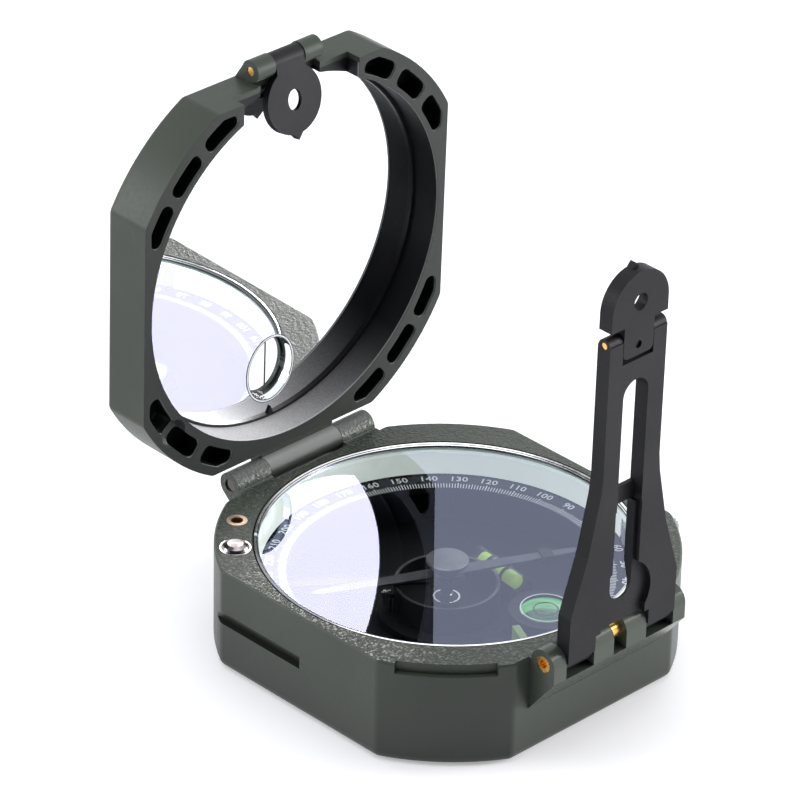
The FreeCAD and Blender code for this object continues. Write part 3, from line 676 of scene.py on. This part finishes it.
def make_round_level():
    """The round level's inked circle, a painted highlight on the edge of its glass, and its bubble."""
    low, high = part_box("round_level_glass")
    centre = (low + high) / 2
    centre.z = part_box("round_level_spirit")[1].z
    ring_piece("round_level_ring", "ink", centre + Vector((0, 0, 0.45 * MM)), 2.1 * MM, 0.26 * MM)
    ring_piece("round_level_edge_highlight", "mark", centre + Vector((0, 0, 0.75 * MM)), 4.35 * MM, 0.22 * MM)
    bm = bmesh.new()
    bmesh.ops.create_uvsphere(bm, u_segments=32, v_segments=16, radius=1.5 * MM)
    for vert in bm.verts:
        vert.co.z *= 0.18
        vert.co += centre + Vector((0.35 * MM, -0.2 * MM, 0.33 * MM))
    piece("round_level_bubble", bm, "vial_glass", "clinometer", True)


def make_cup_rings():
    """A painted highlight on the damping cup's rim, and a bright collar round its shaft."""
    cup_rim = Vector((0.0, 0.0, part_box("damping_cup")[1].z + 0.03 * MM))
    shaft_end = Vector((0.0, 0.0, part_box("clinometer_shaft")[1].z + 0.03 * MM))
    ring_piece("damping_cup_rim_highlight", "rim_highlight_metal", cup_rim, 8.85 * MM, 0.5 * MM)
    ring_piece("shaft_collar_ring", "steel", shaft_end, 2.2 * MM, 0.3 * MM)


make_round_level()
make_cup_rings()


def tube_level_axis():
    """Middle and direction of the tube level, from the vertices of its vial."""
    points = [vert.co for vert in cad["tube_level_vial"].data.vertices]
    middle = sum(points, Vector()) / len(points)
    far = max(points, key=lambda p: (p - middle).length)
    across_vial = 4.2 * MM
    end_points = [p for p in points if (p - far).length < across_vial]
    direction = sum(end_points, Vector()) / len(end_points) - middle
    direction.z = 0.0
    return middle, direction.normalized()


def lathe(profile, matrix, segments=40):
    """A closed turned shape about the matrix's Z axis from (distance along, radius) points."""
    bm = bmesh.new()
    rings = []
    for along, radius in profile:
        ring = []
        for step in range(segments):
            angle = 2 * math.pi * step / segments
            at = Vector((radius * math.cos(angle), radius * math.sin(angle), along))
            ring.append(bm.verts.new(matrix @ at))
        rings.append(ring)
    for near, far in zip(rings, rings[1:]):
        for step in range(segments):
            after = (step + 1) % segments
            bm.faces.new((near[step], near[after], far[after], far[step]))
    bm.faces.new(list(reversed(rings[0])))
    bm.faces.new(rings[-1])
    return bm


COLUMN_HALF = 5.2 * MM
COLUMN_RADIUS = 1.40 * MM
BUBBLE_HALF = 1.9 * MM
BUBBLE_RADIUS = 0.62 * MM
BUBBLE_RISE = 1.0 * MM
VIAL_LINE_AT = 2.1 * MM       # the black lines stand this far each side of the middle
VIAL_LINE_HALF = 0.14 * MM
VIAL_LINE_RADIUS = 1.93 * MM


def make_tube_level():
    """Round-ended spirit column, its bubble, and the two black lines round the vial."""
    middle, direction = tube_level_axis()
    turn = direction.to_track_quat("Z", "Y").to_matrix().to_4x4()
    matrix = Matrix.Translation(middle) @ turn
    profile = []
    for step in range(9):
        angle = math.radians(90 - 11.25 * step)
        dome = COLUMN_RADIUS * 0.5 * math.sin(angle)
        profile.append((-COLUMN_HALF - dome + COLUMN_RADIUS * 0.5,
                        max(COLUMN_RADIUS * math.cos(angle), 0.01 * MM)))
    profile += [(-along, radius) for along, radius in reversed(profile)]
    column = piece("tube_level_column", lathe(profile, matrix), "spirit_tube", "clinometer", True)
    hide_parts("tube_level_spirit")
    bubble = []
    for step in range(13):
        angle = math.radians(-90 + 15 * step)
        bubble.append((BUBBLE_HALF * math.sin(angle),
                       max(BUBBLE_RADIUS * math.cos(angle), 0.005 * MM)))
    lift = Matrix.Translation(Vector((0, 0, BUBBLE_RISE)))
    piece("tube_level_bubble", lathe(bubble, lift @ matrix), "bubble", "clinometer", True)
    for number, place in enumerate((-VIAL_LINE_AT, VIAL_LINE_AT)):
        band = [(place - VIAL_LINE_HALF, VIAL_LINE_RADIUS), (place + VIAL_LINE_HALF, VIAL_LINE_RADIUS)]
        piece("tube_level_line_%d" % number, lathe(band, matrix), "ink", "clinometer", True)


make_tube_level()


def closed_to_open(x, y, z):
    """A point of the closed lid, turned to where the lid stands open."""
    turn = Matrix.Rotation(math.radians(-LID_OPEN), 4, "X")
    return LID_AXIS + turn @ (Vector((x, y, z)) - LID_AXIS)


def oval_band(name, look, matrix, outside, width):
    """A thin band of short slabs, a set distance outside the window's oval."""
    steps = 72
    half_x = WINDOW_HALF_X + outside
    half_y = WINDOW_HALF_Y + outside
    bm = bmesh.new()
    for step in range(steps):
        angle = 2 * math.pi * step / steps
        spot = Vector((half_x * math.cos(angle), half_y * math.sin(angle), 0.0))
        slope = math.atan2(half_y * math.cos(angle), -half_x * math.sin(angle))
        length = 2 * math.pi / steps * math.hypot(half_x * math.sin(angle), half_y * math.cos(angle))
        turn = Matrix.Translation(spot) @ Matrix.Rotation(slope, 4, "Z")
        add_slab(bm, matrix @ turn, length * 1.15, width, MARK_HEIGHT)
    piece(name, bm, look, "lid")


def make_window_lines():
    """The black sighting line across the window, and the lines round its edge."""
    low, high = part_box("window_glass")
    to_mirror_face = Matrix.Rotation(math.radians(180 - LID_OPEN), 4, "X")
    middle = Vector((0.0, low.y - 0.01 * MM, (low.z + high.z) / 2))
    bm = bmesh.new()
    add_slab(bm, Matrix.Translation(middle) @ to_mirror_face, 0.36 * MM, (high.z - low.z) * 0.98,
             MARK_HEIGHT)
    piece("window_hairline", bm, "ink", "lid")
    # the mirror is cut round the window: a pale ground edge with a dark line on each side
    face = closed_to_open(0.0, WINDOW_Y, MIRROR_FACE - 0.03 * MM)
    on_mirror = Matrix.Translation(face) @ to_mirror_face
    oval_band("window_edge", "mark", on_mirror, 0.28 * MM, 0.26 * MM)
    oval_band("window_line_inner", "ink", on_mirror, 0.08 * MM, 0.12 * MM)
    oval_band("window_line_outer", "ink", on_mirror, 0.48 * MM, 0.12 * MM)


make_window_lines()


# ---------------------------------------------------------------- stage, light and camera
def make_stage():
    """A plain white floor just under the case."""
    bm = bmesh.new()
    size = 4.0
    steps = 24
    for row in range(steps + 1):
        for column in range(steps + 1):
            bm.verts.new((size * (column / steps - 0.5), size * (row / steps - 0.5), 0.0))
    bm.verts.ensure_lookup_table()
    for row in range(steps):
        for column in range(steps):
            at = row * (steps + 1) + column
            corners = (at, at + 1, at + steps + 2, at + steps + 1)
            bm.faces.new([bm.verts[i] for i in corners])
    mesh = bpy.data.meshes.new("floor")
    bm.to_mesh(mesh)
    bm.free()
    floor = bpy.data.objects.new("floor", mesh)
    bpy.context.scene.collection.objects.link(floor)
    n = Nodes("floor_white")
    grain = n.noise(n.place(), 300.0, 2.0)
    tone = n.mix(grain, (0.755, 0.755, 0.79), (0.735, 0.735, 0.775))
    n.surface(tone, n.ramp(grain, 0.3, 0.7, 0.55, 0.7),
              Emission_Color=(1.0, 1.0, 1.0, 1.0), Emission_Strength=0.34)
    mesh.materials.append(n.material)
    floor.location.z = -0.02 * MM


def lamp(name, at, aim, size, power):
    """A square area light at a place, aimed at another."""
    data = bpy.data.lights.new(name, "AREA")
    data.shape = "RECTANGLE"
    data.size = size
    data.size_y = size
    data.energy = power
    made = bpy.data.objects.new(name, data)
    made.location = at
    made.rotation_mode = "QUATERNION"
    made.rotation_quaternion = (aim - at).to_track_quat("-Z", "Y")
    bpy.context.scene.collection.objects.link(made)
    return made


def make_light():
    world = bpy.data.worlds.new("studio")
    bpy.context.scene.world = world
    world.use_nodes = True
    tree = world.node_tree
    background = tree.nodes["Background"]
    background.inputs["Strength"].default_value = 1.2
    # the room is darker to the front left, which keeps the case's front left corner dark
    direction = tree.nodes.new("ShaderNodeTexCoord")
    facing = tree.nodes.new("ShaderNodeVectorMath")
    facing.operation = "DOT_PRODUCT"
    facing.inputs[1].default_value = (-0.67, -0.74, 0.06)
    tree.links.new(direction.outputs["Generated"], facing.inputs[0])
    shade = tree.nodes.new("ShaderNodeMapRange")
    shade.inputs["From Min"].default_value = 0.12
    shade.inputs["From Max"].default_value = 0.64
    shade.inputs["To Min"].default_value = 0.0
    shade.inputs["To Max"].default_value = 1.0
    tree.links.new(facing.outputs["Value"], shade.inputs["Value"])
    tone = tree.nodes.new("ShaderNodeMix")
    tone.data_type = "RGBA"
    tone.inputs[6].default_value = (0.98, 0.99, 1.0, 1.0)
    tone.inputs[7].default_value = (0.03, 0.032, 0.035, 1.0)
    tree.links.new(shade.outputs["Result"], tone.inputs["Factor"])
    tree.links.new(tone.outputs[2], background.inputs["Color"])
    centre = Vector((0.0, 0.0, 0.03))
    away = 1.2
    # a bright panel to the front right, seen by the mirror and so by the cover glass
    toward = Vector((0.609, -0.614, 0.52)).normalized()
    panel = lamp("panel_right", centre + toward * away, centre, 0.28, 1.42)
    panel.data.color = (1.12, 0.98, 0.93)
    # a low lamp on the right that keeps the front and right flats lighter than the corner
    low_right = Vector((0.85, -0.50, 0.08)).normalized()
    lamp("panel_low_right", centre + low_right * away, centre, 0.4, 22.0)
    # a soft lamp behind on the left, along the lid's side
    high_left = Vector((-0.70, 0.65, 0.34)).normalized()
    lamp("panel_left", centre + high_left * away, centre, 0.5, 5.5)
    lamp("panel_top", Vector((-0.1, 0.1, 1.1)), centre, 0.9, 3.0)


def make_camera():
    """The camera: from the front left and above, with a slight roll."""
    azimuth = math.radians(CAMERA_AZIMUTH)
    elevation = math.radians(CAMERA_ELEVATION)
    roll = math.radians(CAMERA_ROLL)
    back = Vector((
        math.sin(azimuth) * math.cos(elevation),
        -math.cos(azimuth) * math.cos(elevation),
        math.sin(elevation),
    ))
    right = Vector((0, 0, 1)).cross(back).normalized()
    up = back.cross(right)
    rolled_right = math.cos(roll) * right + math.sin(roll) * up
    rolled_up = -math.sin(roll) * right + math.cos(roll) * up
    data = bpy.data.cameras.new("camera")
    data.sensor_width = 36.0
    data.lens = CAMERA_LENS
    data.clip_start = 0.01
    data.clip_end = 20.0
    camera = bpy.data.objects.new("camera", data)
    bpy.context.scene.collection.objects.link(camera)
    turn = Matrix((rolled_right, rolled_up, back)).transposed().to_4x4()
    camera.matrix_world = Matrix.Translation(CAMERA_TARGET + back * CAMERA_DISTANCE) @ turn
    bpy.context.scene.camera = camera


make_stage()
make_light()
make_camera()
bpy.context.scene.view_settings.view_transform = "Standard"
